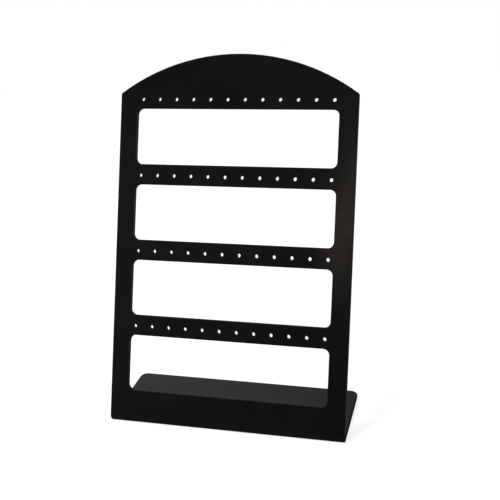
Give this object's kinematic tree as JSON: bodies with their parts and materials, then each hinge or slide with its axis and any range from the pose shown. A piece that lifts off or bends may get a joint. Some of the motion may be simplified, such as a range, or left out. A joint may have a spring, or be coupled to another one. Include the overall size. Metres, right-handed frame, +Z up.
{
  "type": "earring display stand",
  "caption": "Leaning arched panel of black glossy plastic with lines of small holes over wide open windows, folded at the bottom into a flat foot.",
  "frame": {"origin": "on the floor, at the middle of the width and of the depth", "axes": "+Z up from the foot's underside, -Y out of the front, +X to the right of someone facing the front"},
  "size_m": [0.1606, 0.0902, 0.2326],
  "materials": {
    "black_plastic": "polished, high gloss"
  },
  "bodies": {
    "root": {"display_stand": "black_plastic"}
  },
  "joints": []
}
